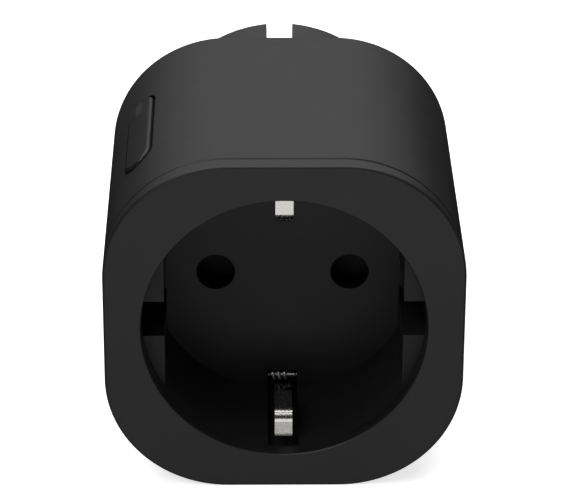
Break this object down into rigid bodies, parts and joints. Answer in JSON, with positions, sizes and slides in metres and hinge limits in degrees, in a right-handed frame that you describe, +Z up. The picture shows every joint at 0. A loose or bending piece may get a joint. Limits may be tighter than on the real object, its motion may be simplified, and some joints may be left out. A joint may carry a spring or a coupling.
{
  "type": "smart plug",
  "caption": "Rounded-square switching plug adapter: earthed recessed socket in front, two-pin earthed plug behind, push button with light window on one corner.",
  "frame": {"origin": "centre of the flat face that the two plug pins stand on", "axes": "+Y along the pins, away from the socket; +Z up as plugged in; +X to the right of someone who faces the socket"},
  "size_m": [0.0494, 0.0828, 0.0494],
  "materials": {
    "case_black": "fine satin grain",
    "insert_black": "satin",
    "button_black": "satin",
    "lens": "frosted clear",
    "nickel": "nickel plated",
    "spring_steel": "drawn wire",
    "shutter_grey": "matt",
    "carrier_white": "matt",
    "board_green": "solder mask",
    "copper": "tinned edge",
    "winding": "enamelled wire",
    "iron": "soft iron",
    "relay_blue": "smooth",
    "component_black": "moulded",
    "capacitor_sleeve": "shrink sleeve",
    "varistor_blue": "dipped",
    "resistor_green": "lacquer",
    "shield_tin": "tinned",
    "ceramic_white": "ceramic",
    "led_white": "clear resin",
    "screw_steel": "black zinc"
  },
  "bodies": {
    "case": {"housing": "case_black", "front_ring": "case_black", "plug_body": "case_black", "socket_insert": "insert_black", "earth_bridge": "nickel", "earth_strap_top": "nickel", "earth_strap_bottom": "nickel", "earth_rivets": "nickel", "earth_pin_sleeve": "nickel", "clip_pivots": "spring_steel", "clip_spring_top": "spring_steel", "clip_spring_bottom": "spring_steel", "line_pin": "nickel", "neutral_pin": "nickel", "line_contact": "copper", "neutral_contact": "copper", "shutter_guide_pin": "spring_steel", "shutter_spring": "spring_steel", "contact_carrier": "carrier_white", "button_board": "board_green", "main_board": "board_green", "radio_board": "board_green", "tact_switch": "component_black", "status_led": "led_white", "line_bar": "copper", "neutral_bar": "copper", "load_bar": "copper", "relay_base": "component_black", "relay_cover": "relay_blue", "relay_yoke": "iron", "relay_core": "iron", "relay_bobbin": "carrier_white", "relay_coil": "winding", "relay_fixed_contact": "copper", "filter_capacitors": "capacitor_sleeve", "choke": "winding", "varistor": "varistor_blue", "fuse_resistor": "resistor_green", "power_chip": "component_black", "metering_chip": "component_black", "shunt_resistor": "component_black", "radio_shield": "shield_tin", "radio_antenna": "ceramic_white", "case_screws": "screw_steel", "board_screws": "screw_steel"},
    "button": {"power_button": "button_black", "status_lens": "lens"},
    "plunger": {"tact_plunger": "carrier_white"},
    "shutter": {"shutter_slider": "shutter_grey"},
    "clip_top": {"earth_clip_top": "nickel"},
    "clip_bottom": {"earth_clip_bottom": "nickel"},
    "armature": {"relay_armature": "iron"}
  },
  "joints": [
    {"name": "button_press", "type": "slide", "parent": "case", "child": "button", "axis": [0.7302, 0, -0.6833], "range_m": [0, 0.0005], "stiffness_N_per_m": 1500, "springref_m": -0.0003},
    {"name": "plunger_press", "type": "slide", "parent": "case", "child": "plunger", "axis": [0.7302, 0, -0.6833], "range_m": [0, 0.0005]},
    {"name": "shutter_slide", "type": "slide", "parent": "case", "child": "shutter", "axis": [1, 0, 0], "range_m": [0, 0.0062], "stiffness_N_per_m": 60, "springref_m": -0.004, "deforming": ["shutter_spring"]},
    {"name": "earth_clip_top_flex", "type": "hinge", "parent": "case", "child": "clip_top", "pos_m": [0, -0.0452, 0.0172], "axis": [-1, 0, 0], "range_deg": [0, 8], "stiffness_Nm_per_rad": 0.25, "springref_deg": -2.86},
    {"name": "earth_clip_bottom_flex", "type": "hinge", "parent": "case", "child": "clip_bottom", "pos_m": [0, -0.0452, -0.0172], "axis": [1, 0, 0], "range_deg": [0, 8], "stiffness_Nm_per_rad": 0.25, "springref_deg": -2.86},
    {"name": "relay_armature_tilt", "type": "hinge", "parent": "case", "child": "armature", "pos_m": [0.0098, -0.0399, 0.0125], "axis": [0, 0, -1], "range_deg": [0, 4], "stiffness_Nm_per_rad": 0.05, "springref_deg": -2.86}
  ],
  "couplings": [
    {"joint": "plunger_press", "follows": "button_press", "ratio": 1}
  ]
}
